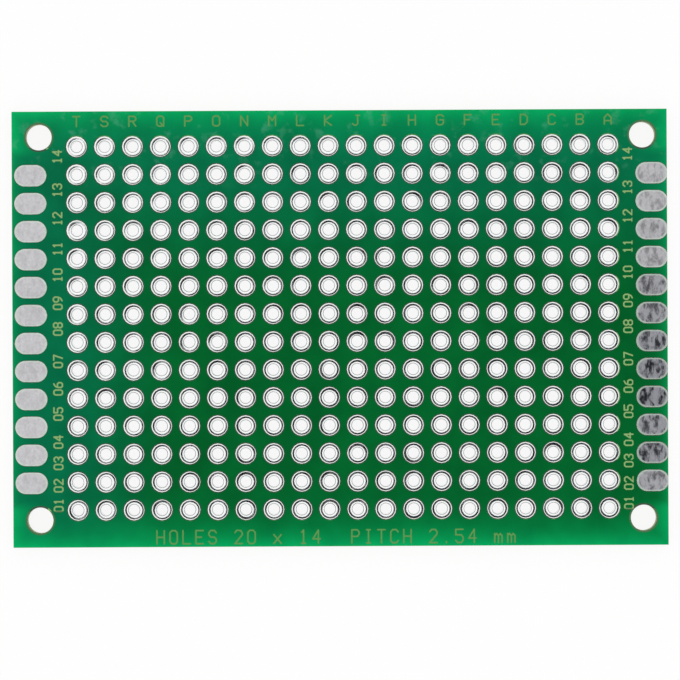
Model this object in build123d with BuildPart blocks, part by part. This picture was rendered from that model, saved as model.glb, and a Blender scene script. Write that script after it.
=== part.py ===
from build123d import *
import os

os.makedirs("parts", exist_ok=True)

# Double-sided prototype board. A drilled glass-epoxy substrate carries a solder mask on each face,
# one tinned eyelet plated through every hole of the grid, and tinned edge pads along both ends.
# The origin is at the middle of the underside, +X runs along the board towards column A,
# +Y towards the column letters, and +Z out of the lettered front. Lengths are in millimetres.

# Hole grid: column A is the one nearest +X, row 1 the one nearest -Y.
column_letters = "ABCDEFGHIJKLMNOPQRST"
rows = 14
pitch = 2.54
grid_shift_x = 0.27  # drilled grid against the milled outline
grid_shift_y = 0.085

# Outline and layers
end_margin = 5.62  # outermost column to the short edge, for a centred grid
side_margin = 3.29  # outermost row to the long edge, for a centred grid
laminate_thickness = 1.53
copper_thickness = 0.035
tin_rise = 0.04  # crest of the tin above the copper
mask_thickness = 0.025

# Plated holes
hole_diameter = 1.0
plating_wall = 0.04
pad_diameter = 1.97
mask_clearance = 0.03  # mask window around every pad

# Edge pads
edge_pad_length = 2.95
edge_pad_width = 1.97
edge_pad_inset = 1.535  # pad centre to the short edge, for centred pads
edge_pad_shift_x = 0.135
edge_pad_drop = 0.07  # pads lie this far towards -Y from their rows
tin_edge_radius = 0.03

# Mounting holes, unplated
mount_diameter = 2.36
mount_inset_x = 2.35  # hole centre to the short edge, for a centred pattern
mount_inset_y = 2.4
mount_shift_x = 0.11
mount_shift_y = 0.065
mount_mask_clearance = 0.16

# Legend: narrow strokes left open in the front mask
stroke_width = 0.15
letter_size = (0.62, 0.9)
letter_rise = 2.29  # letters above the top row
digit_size = (0.44, 0.78)
digit_advance = 0.67
number_offset = 1.77  # row numbers outside the outer columns
# each row number's place above its row, from row 1 up
number_offsets_y = [0.45, -0.3, -0.8, -1.4, -1.4, -1.65, -1.7]
number_offsets_y += [-1.3, -1.5, -1.5, -1.65, -1.45, -1.4, -0.9]
caption_text = "HOLES 20 x 14  PITCH 2.54 mm"
caption_size = (0.66, 1.2)
caption_advance = 1.18
caption_drop = 2.49  # caption below the bottom row
caption_shift_x = -0.73

# Worked out from the values above
columns = len(column_letters)
board_length = (columns - 1) * pitch + 2 * end_margin
board_width = (rows - 1) * pitch + 2 * side_margin
pad_rise = copper_thickness + tin_rise
laminate_bottom = pad_rise
laminate_top = laminate_bottom + laminate_thickness
board_top = laminate_top + pad_rise
front_copper = laminate_top + copper_thickness
back_copper = laminate_bottom - copper_thickness
hole_radius = hole_diameter / 2
drilled_radius = hole_radius + plating_wall
pad_radius = pad_diameter / 2
crest_radius = (hole_radius + pad_radius) / 2
mount_radius = mount_diameter / 2
pad_rows = range(2, rows)
sides = {"left": -1, "right": 1}


def column_x(index):
    return grid_shift_x + ((columns - 1) / 2 - index) * pitch


def row_y(number):
    return grid_shift_y + (number - (rows + 1) / 2) * pitch


def edge_pad_centre(side, number):
    x = sides[side] * (board_length / 2 - edge_pad_inset) + edge_pad_shift_x
    return (x, row_y(number) - edge_pad_drop)


hole_centres = [
    (column_x(index), row_y(number))
    for index in range(columns)
    for number in range(1, rows + 1)
]
edge_pad_centres = [edge_pad_centre(side, number) for side in sides for number in pad_rows]
mount_centres = [
    (
        mount_shift_x + x * (board_length / 2 - mount_inset_x),
        mount_shift_y + y * (board_width / 2 - mount_inset_y),
    )
    for x in (-1, 1)
    for y in (-1, 1)
]

# Characters as pen strokes on a grid 4 wide and 6 high, from the lower left corner
strokes = {
    "A": [[(0, 0), (0, 4), (2, 6), (4, 4), (4, 0)], [(0, 2), (4, 2)]],
    "B": [
        [(0, 0), (0, 6), (3, 6), (4, 5), (4, 4), (3, 3), (4, 2), (4, 1), (3, 0), (0, 0)],
        [(0, 3), (3, 3)],
    ],
    "C": [[(4, 5), (3, 6), (1, 6), (0, 5), (0, 1), (1, 0), (3, 0), (4, 1)]],
    "D": [[(0, 0), (0, 6), (2.5, 6), (4, 4.5), (4, 1.5), (2.5, 0), (0, 0)]],
    "E": [[(4, 6), (0, 6), (0, 0), (4, 0)], [(0, 3), (3, 3)]],
    "F": [[(4, 6), (0, 6), (0, 0)], [(0, 3), (3, 3)]],
    "G": [[(4, 5), (3, 6), (1, 6), (0, 5), (0, 1), (1, 0), (3, 0), (4, 1), (4, 3), (2, 3)]],
    "H": [[(0, 0), (0, 6)], [(4, 0), (4, 6)], [(0, 3), (4, 3)]],
    "I": [[(1, 6), (3, 6)], [(2, 6), (2, 0)], [(1, 0), (3, 0)]],
    "J": [[(2, 6), (4, 6)], [(3, 6), (3, 1), (2, 0), (1, 0), (0, 1)]],
    "K": [[(0, 0), (0, 6)], [(4, 6), (0, 3), (4, 0)]],
    "L": [[(0, 6), (0, 0), (4, 0)]],
    "M": [[(0, 0), (0, 6), (2, 3), (4, 6), (4, 0)]],
    "N": [[(0, 0), (0, 6), (4, 0), (4, 6)]],
    "O": [[(1, 0), (0, 1), (0, 5), (1, 6), (3, 6), (4, 5), (4, 1), (3, 0), (1, 0)]],
    "P": [[(0, 0), (0, 6), (3, 6), (4, 5), (4, 4), (3, 3), (0, 3)]],
    "Q": [[(1, 0), (0, 1), (0, 5), (1, 6), (3, 6), (4, 5), (4, 1), (3, 0), (1, 0)], [(2, 2), (4, 0)]],
    "R": [[(0, 0), (0, 6), (3, 6), (4, 5), (4, 4), (3, 3), (0, 3)], [(2, 3), (4, 0)]],
    "S": [
        [(4, 5), (3, 6), (1, 6), (0, 5), (0, 4), (1, 3), (3, 3), (4, 2), (4, 1), (3, 0), (1, 0), (0, 1)],
    ],
    "T": [[(0, 6), (4, 6)], [(2, 6), (2, 0)]],
    "0": [[(1, 0), (0, 1), (0, 5), (1, 6), (3, 6), (4, 5), (4, 1), (3, 0), (1, 0)]],
    "1": [[(1, 5), (2, 6), (2, 0)], [(1, 0), (3, 0)]],
    "2": [[(0, 5), (1, 6), (3, 6), (4, 5), (4, 4), (0, 0), (4, 0)]],
    "3": [
        [(0, 5), (1, 6), (3, 6), (4, 5), (4, 4), (3, 3), (4, 2), (4, 1), (3, 0), (1, 0), (0, 1)],
        [(2, 3), (3, 3)],
    ],
    "4": [[(3, 0), (3, 6), (0, 2), (4, 2)]],
    "5": [[(4, 6), (0, 6), (0, 3.5), (3, 3.5), (4, 2.5), (4, 1), (3, 0), (1, 0), (0, 1)]],
    "6": [[(3, 6), (1, 5), (0, 3), (0, 1), (1, 0), (3, 0), (4, 1), (4, 2.5), (3, 3.5), (0.4, 3.5)]],
    "7": [[(0, 6), (4, 6), (1.5, 0)]],
    "8": [
        [(1, 3), (0, 4), (0, 5), (1, 6), (3, 6), (4, 5), (4, 4), (3, 3), (1, 3)],
        [(1, 3), (0, 2), (0, 1), (1, 0), (3, 0), (4, 1), (4, 2), (3, 3)],
    ],
    "9": [[(1, 0), (3, 1), (4, 3), (4, 5), (3, 6), (1, 6), (0, 5), (0, 3.5), (1, 2.5), (3.6, 2.5)]],
    "m": [[(0, 0), (0, 4)], [(0, 3), (1, 4), (2, 3), (2, 0)], [(2, 3), (3, 4), (4, 3), (4, 0)]],
    "x": [[(0, 0), (4, 4)], [(0, 4), (4, 0)]],
    ".": [[(2, 0), (2, 0.4)]],
}


def glyph(character, size):
    """One character, drawn by a round pen and centred on its own origin."""
    width, height = size
    with BuildSketch() as drawn:
        for stroke in strokes[character]:
            points = [Vector((x / 4 - 0.5) * width, (y / 6 - 0.5) * height) for x, y in stroke]
            for start, end in zip(points, points[1:]):
                SlotCenterPoint((start + end) / 2, end, stroke_width)
    return drawn.sketch


def glyphs(text, size):
    return {character: glyph(character, size) for character in sorted(set(text) - {" "})}


letter_glyphs = glyphs(column_letters, letter_size)
digit_glyphs = glyphs("0123456789", digit_size)
caption_glyphs = glyphs(caption_text, caption_size)

# Legend, seen from the front
with BuildSketch(Plane.XY.offset(laminate_top)) as legend:
    for index, letter in enumerate(column_letters):
        with Locations((column_x(index), row_y(rows) + letter_rise)):
            add(letter_glyphs[letter])
    for number in range(1, rows + 1):
        for x in (column_x(columns - 1) - number_offset, column_x(0) + number_offset):
            for place, digit in enumerate(f"{number:02d}"):
                y = row_y(number) + number_offsets_y[number - 1] + (place - 0.5) * digit_advance
                with Locations(Location((x, y, 0), (0, 0, 90))):
                    add(digit_glyphs[digit])
    for place, character in enumerate(caption_text):
        if character != " ":
            x = grid_shift_x + caption_shift_x + (place - (len(caption_text) - 1) / 2) * caption_advance
            with Locations((x, row_y(1) - caption_drop)):
                add(caption_glyphs[character])

# Substrate of glass-epoxy laminate, drilled for the eyelets and the mounting screws
with BuildPart() as substrate:
    with BuildSketch(Plane.XY.offset(laminate_bottom)):
        Rectangle(board_length, board_width)
        with Locations(*hole_centres):
            Circle(drilled_radius, mode=Mode.SUBTRACT)
        with Locations(*mount_centres):
            Circle(mount_radius, mode=Mode.SUBTRACT)
    extrude(amount=laminate_thickness)
substrate.part.label = "substrate"
export_step(substrate.part, "parts/substrate.step")


# Solder mask, one film on each face, open over the pads and around the mounting holes
def mask_film(bottom):
    with BuildSketch(Plane.XY.offset(bottom)) as film:
        Rectangle(board_length, board_width)
        with Locations(*hole_centres):
            Circle(pad_radius + mask_clearance, mode=Mode.SUBTRACT)
        with Locations(*mount_centres):
            Circle(mount_radius + mount_mask_clearance, mode=Mode.SUBTRACT)
        with Locations(*edge_pad_centres):
            window_length = edge_pad_length + 2 * mask_clearance
            window_width = edge_pad_width + 2 * mask_clearance
            SlotOverall(window_length, window_width, mode=Mode.SUBTRACT)
    return film.sketch


front_film = mask_film(laminate_top)
back_film = mask_film(laminate_bottom)

with BuildPart() as front_solder_mask:
    with BuildSketch(Plane.XY.offset(laminate_top)):
        add(front_film)
        add(legend.sketch, mode=Mode.SUBTRACT)
    extrude(amount=mask_thickness)
front_solder_mask.part.label = "front_solder_mask"
export_step(front_solder_mask.part, "parts/front_solder_mask.step")

with BuildPart() as back_solder_mask:
    with BuildSketch(Plane.XY.offset(laminate_bottom)):
        add(back_film)
    extrude(amount=-mask_thickness)
back_solder_mask.part.label = "back_solder_mask"
export_step(back_solder_mask.part, "parts/back_solder_mask.step")

# One plated hole: a barrel through the substrate with a pad on each face, the tin crowned on both
with BuildPart() as plated_hole:
    with BuildSketch(Plane.XZ):
        with BuildLine():
            Line((hole_radius, back_copper), (hole_radius, front_copper))
            ThreePointArc((hole_radius, front_copper), (crest_radius, board_top), (pad_radius, front_copper))
            Line((pad_radius, front_copper), (pad_radius, laminate_top))
            Line((pad_radius, laminate_top), (drilled_radius, laminate_top))
            Line((drilled_radius, laminate_top), (drilled_radius, laminate_bottom))
            Line((drilled_radius, laminate_bottom), (pad_radius, laminate_bottom))
            Line((pad_radius, laminate_bottom), (pad_radius, back_copper))
            ThreePointArc((pad_radius, back_copper), (crest_radius, 0), (hole_radius, back_copper))
        make_face()
    revolve(axis=Axis.Z)

# The plated holes, one node for each column of the grid
for index, letter in enumerate(column_letters):
    with BuildPart() as plated_column:
        with Locations(*[(column_x(index), row_y(number)) for number in range(1, rows + 1)]):
            add(plated_hole.part)
    name = f"plated_holes_column_{letter.lower()}"
    plated_column.part.label = name
    export_step(plated_column.part, f"parts/{name}.step")


# Edge pads, crowned with tin and trimmed flush where the outline was milled
for side in sides:
    for number in pad_rows:
        with BuildPart() as front_pad:
            with BuildSketch(Plane((*edge_pad_centre(side, number), laminate_top))):
                SlotOverall(edge_pad_length, edge_pad_width)
            extrude(amount=pad_rise)
            fillet(front_pad.faces().sort_by(Axis.Z)[-1].edges(), tin_edge_radius)
            Box(board_length, board_width, 2 * board_top, mode=Mode.INTERSECT)
        name = f"front_edge_pad_{side}_{number:02d}"
        front_pad.part.label = name
        export_step(front_pad.part, f"parts/{name}.step")

for side in sides:
    with BuildPart() as back_pads:
        with BuildSketch(Plane.XY.offset(laminate_bottom)):
            with Locations(*[edge_pad_centre(side, number) for number in pad_rows]):
                SlotOverall(edge_pad_length, edge_pad_width)
        extrude(amount=-pad_rise)
        fillet(back_pads.faces().group_by(Axis.Z)[0].edges(), tin_edge_radius)
        Box(board_length, board_width, 2 * board_top, mode=Mode.INTERSECT)
    name = f"back_edge_pads_{side}"
    back_pads.part.label = name
    export_step(back_pads.part, f"parts/{name}.step")
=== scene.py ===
import math

import bpy
import numpy as np
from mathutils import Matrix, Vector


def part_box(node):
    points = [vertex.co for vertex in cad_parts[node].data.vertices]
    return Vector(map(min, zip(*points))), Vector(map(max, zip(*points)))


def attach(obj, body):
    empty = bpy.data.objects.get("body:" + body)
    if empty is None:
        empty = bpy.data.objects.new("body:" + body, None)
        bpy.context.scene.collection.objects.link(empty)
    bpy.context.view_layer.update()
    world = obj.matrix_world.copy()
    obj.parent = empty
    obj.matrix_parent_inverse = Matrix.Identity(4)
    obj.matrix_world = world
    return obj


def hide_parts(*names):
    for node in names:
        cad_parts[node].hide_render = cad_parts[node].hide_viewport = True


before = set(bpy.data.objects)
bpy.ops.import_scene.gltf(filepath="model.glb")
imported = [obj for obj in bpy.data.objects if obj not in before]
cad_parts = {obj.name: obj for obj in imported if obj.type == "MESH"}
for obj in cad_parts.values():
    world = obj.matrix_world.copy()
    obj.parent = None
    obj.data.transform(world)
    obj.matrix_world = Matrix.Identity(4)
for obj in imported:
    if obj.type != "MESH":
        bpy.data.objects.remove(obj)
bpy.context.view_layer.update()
print("frame loaded:", len(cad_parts), "CAD nodes")

mm = 0.001


# linear RGBA from an sRGB hex colour: c/12.92 up to 0.04045, else ((c + 0.055)/1.055)^2.4
def srgb(hexText):
    values = np.array([int(hexText[i:i + 2], 16) for i in (1, 3, 5)]) / 255
    linear = np.where(values <= 0.04045, values / 12.92, ((values + 0.055) / 1.055) ** 2.4)
    return (*linear, 1.0)


# adds one node, sets its settings, then fills each input or links it to a socket or to another node's output
def node(tree, kind, inputs=None, **settings):
    new = tree.nodes.new(kind)
    for key, value in settings.items():
        setattr(new, key, value)
    for key, value in (inputs or {}).items():
        if isinstance(value, bpy.types.Node):
            value = next(output for output in value.outputs if output.enabled)
        if isinstance(value, bpy.types.NodeSocket):
            tree.links.new(value, new.inputs[key])
        else:
            new.inputs[key].default_value = value
    return new


# a material with one Principled shader, its plain values set on the shader's own sockets
def newMaterial(name, values):
    material = bpy.data.materials.new(name)
    material.use_nodes = True
    tree = material.node_tree
    shader = tree.nodes["Principled BSDF"]
    for key, value in values.items():
        shader.inputs[key].default_value = value
    return material, tree, shader


# points (n, 3) in metres and faces (m, corners), put in with foreach_set
def addMesh(name, points, faces, material, smooth=True):
    mesh = bpy.data.meshes.new(name)
    mesh.vertices.add(len(points))
    mesh.vertices.foreach_set("co", points.astype(np.float32).ravel())
    mesh.loops.add(faces.size)
    mesh.loops.foreach_set("vertex_index", faces.astype(np.int32).ravel())
    mesh.polygons.add(len(faces))
    mesh.polygons.foreach_set("loop_start", np.arange(0, faces.size, faces.shape[1], dtype=np.int32))
    mesh.polygons.foreach_set("use_smooth", np.full(len(faces), smooth))
    mesh.update(calc_edges=True)
    mesh.materials.append(material)
    piece = bpy.data.objects.new(name, mesh)
    bpy.context.scene.collection.objects.link(piece)
    return piece


letters = "abcdefghijklmnopqrst"
rowCount = 14
substrateLow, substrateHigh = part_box("substrate")
halfLength = substrateHigh.x
halfWidth = substrateHigh.y
firstLow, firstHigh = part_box("plated_holes_column_a")
lastLow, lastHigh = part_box("plated_holes_column_t")
padRadius = (firstHigh.x - firstLow.x) / 2
pitch = (firstLow.x - lastLow.x) / (len(letters) - 1)
gridX = (firstLow.x + lastHigh.x) / 2
gridY = (firstLow.y + firstHigh.y) / 2
columnX = {letter: gridX + ((len(letters) - 1) / 2 - i) * pitch for i, letter in enumerate(letters)}
rowY = gridY + (np.arange(rowCount) - (rowCount - 1) / 2) * pitch


maskLook = {
    "field": "#02612a",      # between the pads, where copper blocks the light inside the board
    "paintedSheen": "#036f4b",       # painted sheen: the film bluer near the lettered edge and column T, a reflection put into its colour
    "edge": "#03a75e",       # painted glow along the outline, standing in for light that gets into the glass cloth
    "haze": "#5fb294",       # a pale bloom in soft patches above the top pads
    "hazeShare": 0.26,
    "longGlow": 1.4 * mm,    # how far the painted edge glow reaches in
    "shortGlow": 0.5 * mm,   # and between the edge pads, which screen the painted glow
    "mottle": 3.5 * mm,
    "wisp": 1.1 * mm,
    "ripple": 1.6 * mm,      # orange peel of the cured film
    "roughness": 0.18,
    "gloss": 0.03,           # well under the usual 0.5, so that the green stays deep
    "edgePads": 0.6,         # the edge pads let through this share of the painted glow
    "padEnd": (15.2 * mm, 16.6 * mm),    # |y| where the last edge pad ends and the corner's full painted glow begins
    "paintedSheenUp": (2 * mm, 17 * mm),         # y over which the painted sheen comes in towards the lettered edge
    "paintedSheenOut": (-14 * mm, -27 * mm),     # and x over which the painted sheen comes in towards column T
    "paintedSheenShare": 0.85,
    "hazeUp": (12 * mm, 17 * mm),        # y over which the haze comes in
    "shade": (0.86, 1.14),               # darkest and lightest of the mottle
}


# Epoxy solder mask, screened on and oven-cured: a deep green film, with a painted glow along the board's
# outline for the light that gets into the glass cloth, a painted sheen towards the lettered edge and column
# T, a soft orange peel and a little pale haze above the top pads.
def solderMask(name):
    material, tree, shader = newMaterial(name, {
        "Roughness": maskLook["roughness"], "IOR": 1.5, "Specular IOR Level": maskLook["gloss"]})
    place = node(tree, "ShaderNodeTexCoord").outputs["Object"]
    x, y, _ = node(tree, "ShaderNodeSeparateXYZ", {0: place}).outputs
    absX = node(tree, "ShaderNodeMath", {0: x}, operation="ABSOLUTE")
    absY = node(tree, "ShaderNodeMath", {0: y}, operation="ABSOLUTE")
    # painted glow = e^((|y| - half)/reach), the same across the short edges, and its largest value wins
    farX = node(tree, "ShaderNodeMath", {0: absX, 1: halfLength}, operation="SUBTRACT")
    farY = node(tree, "ShaderNodeMath", {0: absY, 1: halfWidth}, operation="SUBTRACT")
    powers = [
        node(tree, "ShaderNodeMath", {0: far, 1: maskLook[reach]}, operation="DIVIDE")
        for far, reach in ((farY, "longGlow"), (farX, "shortGlow"), (farX, "longGlow"))
    ]
    paintedGlowY, paintedGlowX, paintedGlowCorner = [
        node(tree, "ShaderNodeMath", {0: power}, operation="EXPONENT") for power in powers]
    paintedGlowX = node(tree, "ShaderNodeMath", {0: paintedGlowX, 1: maskLook["edgePads"]}, operation="MULTIPLY")
    padEnd, cornerStart = maskLook["padEnd"]
    pastPads = node(tree, "ShaderNodeMapRange", {"Value": absY, "From Min": padEnd, "From Max": cornerStart},
                    interpolation_type="SMOOTHSTEP")
    paintedGlowCorner = node(tree, "ShaderNodeMath", {0: paintedGlowCorner, 1: pastPads}, operation="MULTIPLY")
    paintedGlow = node(tree, "ShaderNodeMath", {0: paintedGlowY, 1: paintedGlowX}, operation="MAXIMUM")
    paintedGlow = node(tree, "ShaderNodeMath", {0: paintedGlow, 1: paintedGlowCorner}, operation="MAXIMUM")
    # painted sheen = the larger of a ramp up to the lettered edge and a ramp out to column T
    paintedSheenY, paintedSheenX = [
        node(tree, "ShaderNodeMapRange",
             {"Value": along, "From Min": start, "From Max": end, "To Max": maskLook["paintedSheenShare"]},
             interpolation_type="SMOOTHSTEP")
        for along, (start, end) in ((y, maskLook["paintedSheenUp"]), (x, maskLook["paintedSheenOut"]))
    ]
    paintedSheen = node(tree, "ShaderNodeMath", {0: paintedSheenY, 1: paintedSheenX}, operation="MAXIMUM")
    # painted sheen: the bluer colour is mixed into the film towards the lettered edge and column T
    colour = node(tree, "ShaderNodeMix",
                  {"Factor": paintedSheen, "A": srgb(maskLook["field"]), "B": srgb(maskLook["paintedSheen"])},
                  data_type="RGBA")
    # painted glow: the edge colour is mixed in where light would get in at the board's outline
    colour = node(tree, "ShaderNodeMix", {"Factor": paintedGlow, "A": colour, "B": srgb(maskLook["edge"])},
                  data_type="RGBA")
    mottle = node(tree, "ShaderNodeTexNoise",
                  {"Vector": place, "Scale": 1 / maskLook["mottle"], "Detail": 3.0})
    shade = node(tree, "ShaderNodeMapRange",
                 {"Value": mottle, "From Min": 0.3, "From Max": 0.7,
                  "To Min": maskLook["shade"][0], "To Max": maskLook["shade"][1]})
    colour = node(tree, "ShaderNodeMix", {"Factor": 1.0, "A": colour, "B": shade},
                  data_type="RGBA", blend_type="MULTIPLY")
    wisp = node(tree, "ShaderNodeTexNoise", {"Vector": place, "Scale": 1 / maskLook["wisp"], "Detail": 4.0})
    wisp = node(tree, "ShaderNodeMapRange",
                {"Value": wisp, "From Min": 0.55, "From Max": 0.75, "To Max": maskLook["hazeShare"]},
                interpolation_type="SMOOTHSTEP")
    hazeStart, hazeFull = maskLook["hazeUp"]
    nearLetters = node(tree, "ShaderNodeMapRange", {"Value": y, "From Min": hazeStart, "From Max": hazeFull},
                       interpolation_type="SMOOTHSTEP")
    haze = node(tree, "ShaderNodeMath", {0: wisp, 1: nearLetters}, operation="MULTIPLY")
    colour = node(tree, "ShaderNodeMix", {"Factor": haze, "A": colour, "B": srgb(maskLook["haze"])},
                  data_type="RGBA")
    tree.links.new(colour.outputs["Result"], shader.inputs["Base Color"])
    peel = node(tree, "ShaderNodeTexNoise", {"Vector": place, "Scale": 1 / maskLook["ripple"], "Detail": 2.0})
    bump = node(tree, "ShaderNodeBump", {"Height": peel, "Strength": 0.25, "Distance": 0.02 * mm})
    tree.links.new(bump.outputs[0], shader.inputs["Normal"])
    return material


laminateLook = {
    "gap": "#25462b",        # the narrow gaps round the pads, in shade
    "rings": "#3c6a3c",      # bare rings round the mounting holes
    "letters": "#559544",    # bare strokes along the long edges
    "numbers": "#86ad68",    # bare strokes beside the outer columns, over more cloth
    "wallDark": "#9ba86f",   # cut edges: plies of cloth in epoxy
    "wallPale": "#bcc690",
    "ply": 0.12 * mm,
    # where each begins, from the board's middle
    "numbersX": 25.1 * mm,
    "edgePadsX": 26.6 * mm,
    "ringsY": 16.5 * mm,
    "lettersY": 17.4 * mm,
}


# FR-4 laminate, woven glass in epoxy, drilled and milled: olive where the mask leaves it bare,
# and a pale edge with the cloth's plies as fine lines along the cuts.
def glassEpoxy():
    material, tree, shader = newMaterial("glassEpoxyLaminate", {"Roughness": 0.55, "IOR": 1.52})
    place = node(tree, "ShaderNodeTexCoord").outputs["Object"]
    x, y, _ = node(tree, "ShaderNodeSeparateXYZ", {0: place}).outputs
    absX = node(tree, "ShaderNodeMath", {0: x}, operation="ABSOLUTE")
    absY = node(tree, "ShaderNodeMath", {0: y}, operation="ABSOLUTE")
    besideColumns, pastNumbers, nearLongEdge, onEdgePads = [
        node(tree, "ShaderNodeMath", {0: away, 1: laminateLook[start]}, operation="GREATER_THAN")
        for away, start in ((absX, "numbersX"), (absY, "ringsY"), (absY, "lettersY"), (absX, "edgePadsX"))
    ]
    zones = {   # each paints over the one before
        "letters": nearLongEdge,
        "numbers": besideColumns,
        "gap": onEdgePads,
        "rings": node(tree, "ShaderNodeMath", {0: besideColumns, 1: pastNumbers}, operation="MULTIPLY"),
    }
    colour = srgb(laminateLook["gap"])
    for key, zone in zones.items():
        colour = node(tree, "ShaderNodeMix", {"Factor": zone, "A": colour, "B": srgb(laminateLook[key])},
                      data_type="RGBA")
    stretched = node(tree, "ShaderNodeMapping", {"Vector": place, "Scale": (0.15, 0.15, 1)})
    plies = node(tree, "ShaderNodeTexNoise",
                 {"Vector": stretched, "Scale": 1 / laminateLook["ply"], "Detail": 3.0})
    weave = node(tree, "ShaderNodeMapRange", {"Value": plies, "From Min": 0.35, "From Max": 0.65})
    wall = node(tree, "ShaderNodeMix",
                {"Factor": weave, "A": srgb(laminateLook["wallDark"]), "B": srgb(laminateLook["wallPale"])},
                data_type="RGBA")
    facing = node(tree, "ShaderNodeSeparateXYZ", {0: node(tree, "ShaderNodeNewGeometry").outputs["Normal"]})
    upright = node(tree, "ShaderNodeMath", {0: facing.outputs[2]}, operation="ABSOLUTE")
    isFace = node(tree, "ShaderNodeMath", {0: upright, 1: 0.5}, operation="GREATER_THAN")
    colour = node(tree, "ShaderNodeMix", {"Factor": isFace, "A": wall, "B": colour}, data_type="RGBA")
    tree.links.new(colour.outputs["Result"], shader.inputs["Base Color"])
    bump = node(tree, "ShaderNodeBump", {"Height": plies, "Strength": 0.4, "Distance": 0.02 * mm})
    tree.links.new(bump.outputs[0], shader.inputs["Normal"])
    return material


tinLook = {
    "dull": "#e3e6e6",
    "bright": "#f2f4f3",
    "cloud": 0.7 * mm,       # patches that froze duller
    "grain": 0.25 * mm,
    "roughness": (0.08, 0.2),
}


# Tin levelled with hot air: a bright, nearly smooth metal that froze in soft waves.
def brightTin():
    material, tree, shader = newMaterial("hotAirLevelledTin", {"Metallic": 1.0})
    place = node(tree, "ShaderNodeTexCoord").outputs["Object"]
    cloud = node(tree, "ShaderNodeTexNoise", {"Vector": place, "Scale": 1 / tinLook["cloud"], "Detail": 2.0})
    rough = node(tree, "ShaderNodeMapRange",
                 {"Value": cloud, "From Min": 0.3, "From Max": 0.7,
                  "To Min": tinLook["roughness"][0], "To Max": tinLook["roughness"][1]})
    tree.links.new(rough.outputs[0], shader.inputs["Roughness"])
    colour = node(tree, "ShaderNodeMix",
                  {"Factor": cloud, "A": srgb(tinLook["dull"]), "B": srgb(tinLook["bright"])},
                  data_type="RGBA")
    tree.links.new(colour.outputs["Result"], shader.inputs["Base Color"])
    grain = node(tree, "ShaderNodeTexNoise", {"Vector": place, "Scale": 1 / tinLook["grain"], "Detail": 2.0})
    bump = node(tree, "ShaderNodeBump", {"Height": grain, "Strength": 0.3, "Distance": 0.01 * mm})
    tree.links.new(bump.outputs[0], shader.inputs["Normal"])
    return material


padLook = {
    "clean": "#d6d5d7",
    "worn": "#9a9ba1",       # where probes and contacts have rubbed
    "smear": "#26282e",      # metal dirt, dragged across the board
    "rim": "#d3dfd6",        # the crowned rim, which nothing touches
    "wornRim": "#a8b7ac",
    "patch": 0.45 * mm,      # width of a smear
    "drag": 0.45,            # smears are longer along Y
    "grain": 0.22 * mm,
    "rimWidth": (0.05, 0.18),     # shares of the way in from the rim over which the rim turns to pad
    "smearCut": (0.43, 0.64),     # patch values over which a smear comes in
    "roughness": (0.6, 0.42),
}


# Tin on the edge pads, levelled with hot air and rubbed in handling: satin, cleaner at the rim,
# with dark smears dragged across it where the wear attribute is high.
def scuffedTin():
    material, tree, shader = newMaterial("scuffedTin", {"Metallic": 1.0})
    place = node(tree, "ShaderNodeTexCoord").outputs["Object"]
    wear = node(tree, "ShaderNodeAttribute", attribute_name="wear").outputs["Fac"]
    inside = node(tree, "ShaderNodeAttribute", attribute_name="inside").outputs["Fac"]
    dragged = node(tree, "ShaderNodeMapping", {"Vector": place, "Scale": (1, padLook["drag"], 1)})
    patch = node(tree, "ShaderNodeTexNoise", {"Vector": dragged, "Scale": 1 / padLook["patch"], "Detail": 5.0,
                                              "Roughness": 0.62, "Distortion": 0.4})
    grain = node(tree, "ShaderNodeTexNoise", {"Vector": place, "Scale": 1 / padLook["grain"], "Detail": 3.0})
    inner, smear = [
        node(tree, "ShaderNodeMapRange", {"Value": value, "From Min": start, "From Max": end},
             interpolation_type="SMOOTHSTEP")
        for value, (start, end) in ((inside, padLook["rimWidth"]), (patch, padLook["smearCut"]))
    ]
    smear = node(tree, "ShaderNodeMath", {0: smear, 1: inner}, operation="MULTIPLY")
    smear = node(tree, "ShaderNodeMath", {0: smear, 1: wear}, operation="MULTIPLY")
    rubbed = node(tree, "ShaderNodeMath", {0: inner, 1: wear}, operation="MULTIPLY")
    rim = node(tree, "ShaderNodeMix",
               {"Factor": wear, "A": srgb(padLook["rim"]), "B": srgb(padLook["wornRim"])}, data_type="RGBA")
    body = node(tree, "ShaderNodeMix",
                {"Factor": rubbed, "A": srgb(padLook["clean"]), "B": srgb(padLook["worn"])}, data_type="RGBA")
    body = node(tree, "ShaderNodeMix",
                {"Factor": smear, "A": body, "B": srgb(padLook["smear"])}, data_type="RGBA")
    body = node(tree, "ShaderNodeMix", {"Factor": inner, "A": rim, "B": body}, data_type="RGBA")
    speckle = node(tree, "ShaderNodeMapRange",
                   {"Value": grain, "From Min": 0.3, "From Max": 0.7, "To Min": 0.9, "To Max": 1.06})
    body = node(tree, "ShaderNodeMix", {"Factor": 1.0, "A": body, "B": speckle},
                data_type="RGBA", blend_type="MULTIPLY")
    tree.links.new(body.outputs["Result"], shader.inputs["Base Color"])
    rough = node(tree, "ShaderNodeMapRange", {"Value": patch, "To Min": padLook["roughness"][0],
                                              "To Max": padLook["roughness"][1]})
    tree.links.new(rough.outputs[0], shader.inputs["Roughness"])
    bump = node(tree, "ShaderNodeBump", {"Height": grain, "Strength": 0.5, "Distance": 0.02 * mm})
    tree.links.new(bump.outputs[0], shader.inputs["Normal"])
    return material


tin = brightTin()
padTin = scuffedTin()
print("materials made")


eyelet = {
    "segments": 8,           # doubled by the subdivision
    "hole": 0.50 * mm,
    "barrel": 0.54 * mm,
    "lean": 0.055 * mm,      # how far the frozen tin sags to one side, at most
    "waves": (0.012 * mm, 0.008 * mm),   # and in two and three lobes
    "wobble": 0.02 * mm,     # the bore isn't quite round
    "crest": 0.25 * mm,      # how far in from the rim the wobble starts
    "seed": 5,
}


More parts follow.
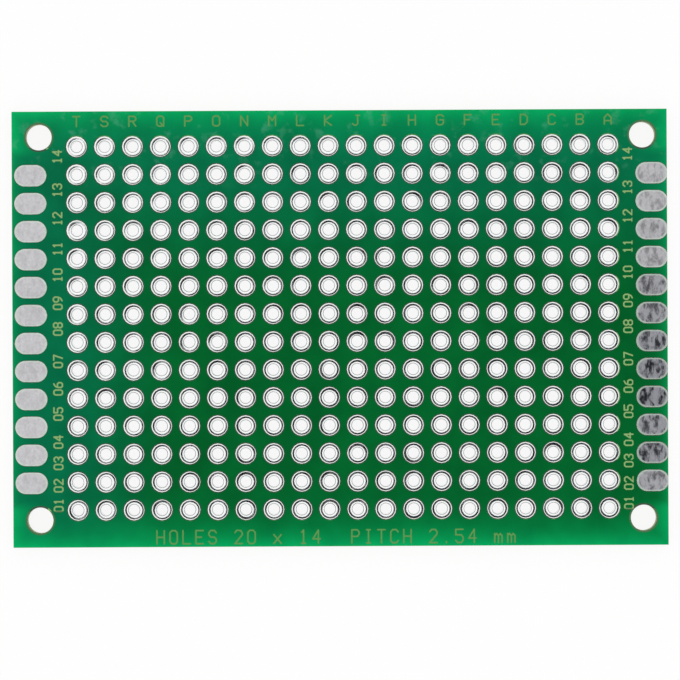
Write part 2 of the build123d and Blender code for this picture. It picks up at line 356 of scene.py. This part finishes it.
# the section as (r, z, weight, crease) round its closed outline, weight being how far the tin's unevenness
# moves that point: up the pad's rim, over the crown, down the funnel, under the back pad and up the barrel's
# outside
def eyeletProfile():
    top, low = substrateHigh.z, substrateLow.z
    crown = [   # in from the rim and up from the copper's seat
        (0, 0, 0, 1), (0.010, 0.069, 0.9, 0), (0.130, 0.0745, 1, 0), (0.325, 0.0725, 1, 0),
        (0.455, 0.012, 0.5, 0), (0.485, -0.1, 0, 0)]
    front = [(padRadius - inward * mm, top + up * mm, weight, crease) for inward, up, weight, crease in crown]
    back = [(eyelet["hole"], low, 0, 1), (padRadius - 0.38 * mm, 0, 0, 0), (padRadius - 0.06 * mm, 0, 0, 0),
            (padRadius, low, 0, 1)]
    barrel = [(eyelet["barrel"], low, 0, 1), (eyelet["barrel"], top, 0, 1)]
    return np.array(front + back + barrel)


# for each hole of the column: (x + g R cos a, y + g R sin a, Z), where (r, z, w) runs round the section,
# R = r + wobble cos(2a - b) w inside the crest, g makes up for most of what the subdivision takes off, and
# Z = z - w (lean (1 - cos(a - c)) + waves (1 - cos(n a - d)))/2 with n 2 and 3
def platedHoles(name, x, seed):
    rng = np.random.default_rng(seed)
    section = eyeletProfile()
    r, z, weight = (section[:, i][None, :, None] for i in range(3))
    a = np.linspace(0, 2 * math.pi, eyelet["segments"], endpoint=False)[None, None, :]
    grow = 4 / (3 + math.cos(2 * math.pi / eyelet["segments"]))   # the smoothed ring ends 3% inside r
    phase = rng.uniform(0, 2 * math.pi, (4, rowCount, 1, 1))
    lean = eyelet["lean"] * rng.uniform(0.05, 1, (rowCount, 1, 1)) ** 1.5
    sag = lean * (1 - np.cos(a - phase[0]))
    for lobes, depth in zip((2, 3), eyelet["waves"]):
        sag = sag + depth * rng.uniform(0.2, 1, (rowCount, 1, 1)) * (1 - np.cos(lobes * a - phase[lobes]))
    wobble = eyelet["wobble"] * rng.uniform(-1, 1, (rowCount, 1, 1))
    radius = r + wobble * np.cos(2 * a - phase[1]) * weight * (r < padRadius - eyelet["crest"])
    height = z - weight * sag / 2
    y = rowY[:, None, None]
    points = np.stack([x + grow * radius * np.cos(a), y + grow * radius * np.sin(a), height], axis=-1)
    rings, turns = points.shape[1:3]
    j, k = np.meshgrid(np.arange(rings), np.arange(turns), indexing="ij")
    nextJ, nextK = (j + 1) % rings, (k + 1) % turns
    quads = np.stack([j * turns + k, j * turns + nextK, nextJ * turns + nextK, nextJ * turns + k], axis=-1)
    quads = quads.reshape(-1, 4)[None] + (np.arange(rowCount) * rings * turns)[:, None, None]
    piece = addMesh(name, points.reshape(-1, 3), quads.reshape(-1, 4), tin)
    ends = np.empty(len(piece.data.edges) * 2, dtype=np.int32)
    piece.data.edges.foreach_get("vertices", ends)
    ring = (ends.reshape(-1, 2) // turns) % rings
    sharp = (ring[:, 0] == ring[:, 1]) * section[ring[:, 0], 3]
    crease = piece.data.attributes.new("crease_edge", "FLOAT", "EDGE")
    crease.data.foreach_set("value", sharp.astype(np.float32))
    finish = piece.modifiers.new("soft crown", "SUBSURF")
    finish.levels = finish.render_levels = 1
    return piece


for i, letter in enumerate(letters):
    piece = platedHoles(f"tinned_holes_{letter}", columnX[letter], eyelet["seed"] + i)
    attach(piece, "root")
    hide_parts(f"plated_holes_column_{letter}")
print("plated holes made")


edgePad = {
    "segments": 44,
    "seed": 40,
    "wave": 0.006 * mm,      # how uneven the tin froze
    "halfLength": 1.475 * mm,
    # in from rim to middle as a share, and up from the laminate in mm
    "profile": [(1, 0), (1, 0.035), (0.985, 0.052), (0.955, 0.063), (0.91, 0.069), (0.85, 0.0715),
                (0.74, 0.073), (0.58, 0.073), (0.4, 0.073), (0.2, 0.073), (0.06, 0.073)],
    # rows 2 to 13
    "wearLeft": [0.12, 0.1, 0.1, 0.12, 0.15, 0.1, 0.14, 0.16, 0.12, 0.1, 0.12, 0.15],
    "wearRight": [0.7, 0.95, 0.9, 1.0, 1.0, 0.95, 0.85, 0.8, 0.5, 0.5, 0.4, 0.4],
}


# a stadium with a crowned top: (x, y) = centre + q (L c(a) + R cos a, R sin a), with q from 1 at the rim to
# near 0, c(a) = clip(12 cos a, -1, 1), and z = base + h(q) - wave (waves of a)
def edgePadSurface(name, cadNode, wear, seed):
    rng = np.random.default_rng(seed)
    low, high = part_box(cadNode)
    radius = (high.y - low.y) / 2
    middleY = (high.y + low.y) / 2
    straight = edgePad["halfLength"] - radius
    middleX = low.x + edgePad["halfLength"]
    profile = np.array(edgePad["profile"])
    q, h = profile[:, :1], profile[:, 1:] * mm
    a = np.linspace(0, 2 * math.pi, edgePad["segments"], endpoint=False)[None, :]
    phases = rng.uniform(0, 2 * math.pi, 3)
    wave = (2 + np.sin(2 * a + phases[0]) * q + np.sin(3 * a + phases[1]) * q + np.cos(6 * q + phases[2])) / 4
    x = middleX + q * (straight * np.clip(12 * np.cos(a), -1, 1) + radius * np.cos(a))
    x = np.clip(x, -halfLength, halfLength)
    y = middleY + q * radius * np.sin(a)
    z = low.z + h - edgePad["wave"] * wave * (h > 0.05 * mm)
    top = np.stack([x, y, z + 0 * x], axis=-1)
    rings, turns = top.shape[:2]
    points = top.reshape(-1, 3)
    j, k = np.meshgrid(np.arange(rings - 1), np.arange(turns), indexing="ij")
    nextK = (k + 1) % turns
    here, beyond = j * turns, (j + 1) * turns
    quads = np.stack([here + k, here + nextK, beyond + nextK, beyond + k], axis=-1)
    mesh = bpy.data.meshes.new(name)
    crown = list(range((rings - 1) * turns, rings * turns))
    underside = list(range(turns))[::-1]
    mesh.from_pydata(points.tolist(), [], quads.reshape(-1, 4).tolist() + [crown, underside])
    mesh.polygons.foreach_set("use_smooth", np.array([True] * (len(mesh.polygons) - 1) + [False]))
    for key, values in (("wear", np.full(len(points), wear)), ("inside", np.repeat(1 - q.ravel(), turns))):
        layer = mesh.attributes.new(key, "FLOAT", "POINT")
        layer.data.foreach_set("value", values.astype(np.float32))
    mesh.materials.append(padTin)
    mesh.update()
    piece = bpy.data.objects.new(name, mesh)
    bpy.context.scene.collection.objects.link(piece)
    return piece


for side, wears in (("left", edgePad["wearLeft"]), ("right", edgePad["wearRight"])):
    for i, wear in enumerate(wears):
        cadNode = f"front_edge_pad_{side}_{i + 2:02d}"
        piece = edgePadSurface(f"tinned_pad_{side}_{i + 2:02d}", cadNode, wear, edgePad["seed"] + i)
        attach(piece, "root")
        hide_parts(cadNode)
print("edge pads made")


finishes = {   # the back pads carry no wear attribute, so they stay clean
    "substrate": glassEpoxy(),
    "front_solder_mask": solderMask("solderMaskFront"),
    "back_solder_mask": solderMask("solderMaskBack"),
    "back_edge_pads_left": padTin,
    "back_edge_pads_right": padTin,
}
for name, material in finishes.items():
    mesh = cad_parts[name].data
    mesh.materials.clear()
    mesh.materials.append(material)
print("CAD nodes finished")


stage = {
    "floorSize": 1.2,
    "floorGap": 0.02 * mm,   # the floor lies this far below the back pads, so the two never flicker
    "floor": "#fafafa",
    "cameraWhite": 0.88,     # share of the floor's look that is plain white
    "horizon": 0.2,          # light from low down
    "ceiling": 1.15,         # and from overhead
    "skyRise": (0.2, 0.65),  # heights over which the one turns into the other
    "hoodCentre": (20 * mm, -36 * mm),   # dark hood beside the camera, mirrored in the tin
    "hoodHeight": 0.46,
    "hoodCore": 74 * mm,
    "hoodRadius": 118 * mm,
    "hoodSides": 32,
}

floorPoints = np.array([(-1, -1, 0), (1, -1, 0), (1, 1, 0), (-1, 1, 0)]) * stage["floorSize"] / 2
floorPoints[:, 2] = -stage["floorGap"]
floorMaterial, tree, shader = newMaterial("paleFloor", {"Base Color": srgb(stage["floor"]), "Roughness": 0.9})
rays = node(tree, "ShaderNodeLightPath")
seen = node(tree, "ShaderNodeMath", {0: rays.outputs["Is Camera Ray"], 1: rays.outputs["Is Glossy Ray"]},
            operation="MAXIMUM").outputs[0]
seen = node(tree, "ShaderNodeMath", {0: seen, 1: rays.outputs["Is Transmission Ray"]},
            operation="MAXIMUM").outputs[0]
share = node(tree, "ShaderNodeMath", {0: seen, 1: stage["cameraWhite"]}, operation="MULTIPLY").outputs[0]
white = node(tree, "ShaderNodeEmission", {"Color": (1, 1, 1, 1), "Strength": 1.0}).outputs[0]
blend = node(tree, "ShaderNodeMixShader", {0: share, 1: shader.outputs[0], 2: white})
tree.links.new(blend.outputs[0], tree.nodes["Material Output"].inputs["Surface"])
floor = addMesh("floor", floorPoints, np.array([[0, 1, 2, 3]]), floorMaterial, smooth=False)

world = bpy.data.worlds.new("studio")
bpy.context.scene.world = world
world.use_nodes = True
tree = world.node_tree
background = tree.nodes["Background"]
direction = node(tree, "ShaderNodeTexCoord").outputs["Generated"]
height = node(tree, "ShaderNodeSeparateXYZ", {0: direction}).outputs["Z"]
sky = node(tree, "ShaderNodeMapRange",
           {"Value": height, "From Min": stage["skyRise"][0], "From Max": stage["skyRise"][1],
            "To Min": stage["horizon"], "To Max": stage["ceiling"]},
           interpolation_type="SMOOTHSTEP").outputs[0]
rays = node(tree, "ShaderNodeLightPath")
strength = node(tree, "ShaderNodeMix",
                {"Factor": rays.outputs["Is Camera Ray"], "A": sky, "B": 1.0}).outputs[0]
tree.links.new(strength, background.inputs["Strength"])
background.inputs["Color"].default_value = (1, 1, 1, 1)

# the hood is a disc that is black in its core and clear at its rim, seen only by reflected rays
turn = np.linspace(0, 2 * math.pi, stage["hoodSides"], endpoint=False)
hoodPoints = np.stack([stage["hoodCentre"][0] + stage["hoodRadius"] * np.cos(turn),
                       stage["hoodCentre"][1] + stage["hoodRadius"] * np.sin(turn),
                       np.full(stage["hoodSides"], stage["hoodHeight"])], axis=-1)
hoodMaterial, tree, shader = newMaterial("blackHood", {"Base Color": srgb("#101010"), "Roughness": 0.9})
place = node(tree, "ShaderNodeTexCoord").outputs["Object"]
away = node(tree, "ShaderNodeVectorMath",
            {0: place, 1: (*stage["hoodCentre"], stage["hoodHeight"])}, operation="DISTANCE").outputs["Value"]
clear = node(tree, "ShaderNodeMapRange",
             {"Value": away, "From Min": stage["hoodCore"], "From Max": stage["hoodRadius"]},
             interpolation_type="SMOOTHSTEP").outputs[0]
glass = node(tree, "ShaderNodeBsdfTransparent").outputs[0]
mixed = node(tree, "ShaderNodeMixShader", {0: clear, 1: shader.outputs[0], 2: glass})
tree.links.new(mixed.outputs[0], tree.nodes["Material Output"].inputs["Surface"])
hood = addMesh("hood", hoodPoints, np.arange(stage["hoodSides"])[None, ::-1], hoodMaterial, smooth=False)
hood.visible_camera = hood.visible_diffuse = hood.visible_shadow = False

cameraSpec = {
    "distance": 0.44,
    "viewWidth": 61.76 * mm,     # what the frame spans at the board's front
    "centre": (-0.01 * mm, -1.07 * mm),
    "roll": math.radians(-0.28),
    "sensor": 36.0,
}
cameraData = bpy.data.cameras.new("camera")
cameraData.sensor_width = cameraSpec["sensor"]
cameraData.lens = cameraSpec["sensor"] * cameraSpec["distance"] / cameraSpec["viewWidth"]
cameraData.clip_start = 0.01
camera = bpy.data.objects.new("camera", cameraData)
camera.location = (*cameraSpec["centre"], substrateHigh.z + cameraSpec["distance"])
camera.rotation_euler = (0, 0, cameraSpec["roll"])
bpy.context.scene.collection.objects.link(camera)
bpy.context.scene.camera = camera
bpy.context.scene.view_settings.view_transform = "Standard"
print("floor, light and camera set")
